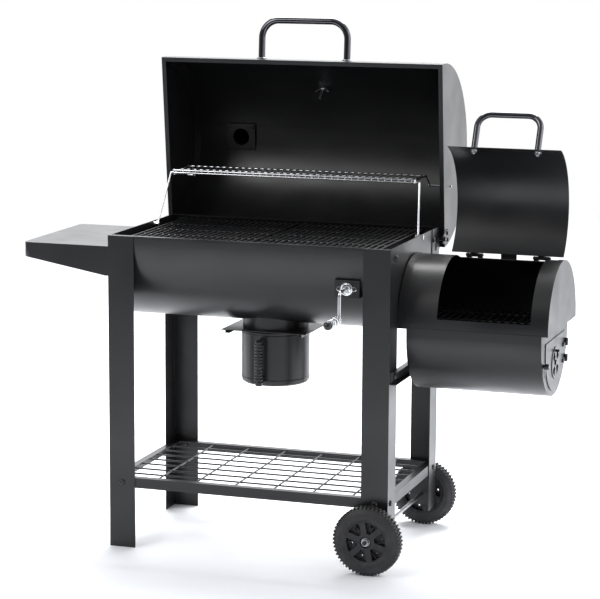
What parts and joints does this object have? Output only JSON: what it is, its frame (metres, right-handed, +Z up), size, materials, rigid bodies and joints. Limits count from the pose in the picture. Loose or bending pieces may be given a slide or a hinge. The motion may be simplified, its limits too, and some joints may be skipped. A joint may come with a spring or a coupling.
{
  "type": "offset smoker",
  "caption": "Barrel charcoal grill on a wheeled leg frame, with a side firebox, hinged lids, warming rack, side table and ash can.",
  "frame": {"origin": "centre of the bounding box's footprint, on the floor", "axes": "+X along the barrel to the firebox end, +Y to the back, +Z up; both lids open at rest"},
  "size_m": [1.363, 0.9926, 1.329],
  "materials": {
    "black_coat": "satin powder coat, heat resistant",
    "hinge_coat": "satin black",
    "wire_enamel": "gloss enamel",
    "chrome_wire": "bright plated",
    "zinc_steel": "zinc plated",
    "dark_bolt": "black zinc",
    "handle_chrome": "dark glossy plated tube",
    "wheel_plastic": "moulded, fine grain",
    "knob_plastic": "moulded phenolic"
  },
  "bodies": {
    "frame": {"leg_front_left": "black_coat", "leg_front_right": "black_coat", "leg_back_left": "black_coat", "leg_back_right": "black_coat", "end_panel_left": "black_coat", "end_panel_right": "black_coat", "trough": "black_coat", "shelf_rail_front": "black_coat", "shelf_rail_back": "black_coat", "shelf_rail_left": "black_coat", "shelf_rail_right": "black_coat", "shelf_wires": "wire_enamel", "firebox_brace": "black_coat", "axle": "zinc_steel", "axle_nuts": "zinc_steel", "side_table": "black_coat", "frame_bolts": "dark_bolt", "cooking_grate_left": "wire_enamel", "cooking_grate_right": "wire_enamel", "crank_bracket": "black_coat", "crank_flange": "chrome_wire", "tray_guides": "black_coat", "ash_collar": "black_coat", "lid_hinge_plates": "hinge_coat", "arm_pivots": "zinc_steel", "firebox_shell": "black_coat", "firebox_ends": "black_coat", "firebox_lower_shell": "black_coat", "firebox_lower_ends": "black_coat", "firebox_throat": "black_coat", "firebox_grate": "wire_enamel", "firebox_lid_stop": "hinge_coat", "firebox_hinges_fixed": "hinge_coat", "door_hinge_fixed": "hinge_coat"},
    "front_wheel": {"wheel_front": "wheel_plastic"},
    "back_wheel": {"wheel_back": "wheel_plastic"},
    "crank": {"crank_shaft": "chrome_wire", "crank_arm": "chrome_wire"},
    "grip": {"crank_grip": "knob_plastic"},
    "tray": {"charcoal_tray": "black_coat", "tray_rack": "zinc_steel"},
    "can": {"ash_can": "black_coat", "ash_can_handle": "knob_plastic"},
    "main_lid": {"lid_shell": "black_coat", "lid_end_left": "black_coat", "lid_end_right": "black_coat", "lid_handle": "handle_chrome", "lid_washers": "zinc_steel", "lid_hinge_lugs": "hinge_coat", "thermometer": "chrome_wire", "chimney": "black_coat"},
    "cap": {"chimney_cap": "black_coat"},
    "rack": {"warming_rack": "chrome_wire"},
    "arms": {"rack_arms": "chrome_wire"},
    "fire_lid": {"firebox_lid": "black_coat", "firebox_lid_handle": "handle_chrome", "firebox_hinges_moving": "hinge_coat"},
    "door": {"firebox_door": "black_coat"},
    "latch": {"door_latch": "knob_plastic"},
    "damper": {"air_damper": "hinge_coat"}
  },
  "joints": [
    {"name": "front_wheel_spin", "type": "hinge", "parent": "frame", "child": "front_wheel", "pos_m": [0.2665, -0.37978, 0.086], "axis": [0, 1, 0], "continuous": true},
    {"name": "back_wheel_spin", "type": "hinge", "parent": "frame", "child": "back_wheel", "pos_m": [0.2665, 0.13722, 0.086], "axis": [0, 1, 0], "continuous": true},
    {"name": "tray_lift", "type": "slide", "parent": "frame", "child": "tray", "axis": [0, 0, 1], "range_m": [0, 0.05]},
    {"name": "crank_turn", "type": "hinge", "parent": "frame", "child": "crank", "pos_m": [0.1945, -0.33728, 0.698], "axis": [0, -1, 0], "range_deg": [0, 239]},
    {"name": "grip_spin", "type": "hinge", "parent": "crank", "child": "grip", "pos_m": [0.1945, -0.44528, 0.632], "axis": [0, 1, 0], "continuous": true},
    {"name": "can_slide", "type": "slide", "parent": "frame", "child": "can", "axis": [0, -1, 0], "range_m": [0, 0.19]},
    {"name": "lid_hinge", "type": "hinge", "parent": "frame", "child": "main_lid", "pos_m": [-0.0615, 0.09152, 0.7698], "axis": [1, 0, 0], "range_deg": [0, 83.9]},
    {"name": "cap_swivel", "type": "hinge", "parent": "main_lid", "child": "cap", "pos_m": [-0.3125, 0.49343, 0.97648], "axis": [0, 0.9943, 0.1063], "range_deg": [0, 100]},
    {"name": "rack_pivot", "type": "hinge", "parent": "main_lid", "child": "rack", "pos_m": [-0.0615, 0.15152, 0.8998], "axis": [1, 0, 0], "range_deg": [-83.9, 0]},
    {"name": "arm_pivot", "type": "hinge", "parent": "frame", "child": "arms", "pos_m": [-0.0615, -0.04928, 0.792], "axis": [1, 0, 0], "range_deg": [0, 83.9]},
    {"name": "firebox_lid_hinge", "type": "hinge", "parent": "frame", "child": "fire_lid", "pos_m": [0.5215, -0.03328, 0.752], "axis": [1, 0, 0], "range_deg": [0, 105]},
    {"name": "door_hinge", "type": "hinge", "parent": "frame", "child": "door", "pos_m": [0.6699, -0.00878, 0.522], "axis": [0, 0, 1], "range_deg": [0, 110]},
    {"name": "latch_turn", "type": "hinge", "parent": "frame", "child": "latch", "pos_m": [0.6635, -0.24228, 0.52], "axis": [1, 0, 0], "range_deg": [0, 90]},
    {"name": "damper_turn", "type": "hinge", "parent": "door", "child": "damper", "pos_m": [0.6666, -0.11928, 0.508], "axis": [1, 0, 0], "range_deg": [0, 45]}
  ],
  "couplings": [
    {"joint": "crank_turn", "follows": "tray_lift", "rad_per_m": 83.333},
    {"joint": "rack_pivot", "follows": "lid_hinge", "ratio": -1},
    {"joint": "arm_pivot", "follows": "lid_hinge", "ratio": 1}
  ]
}
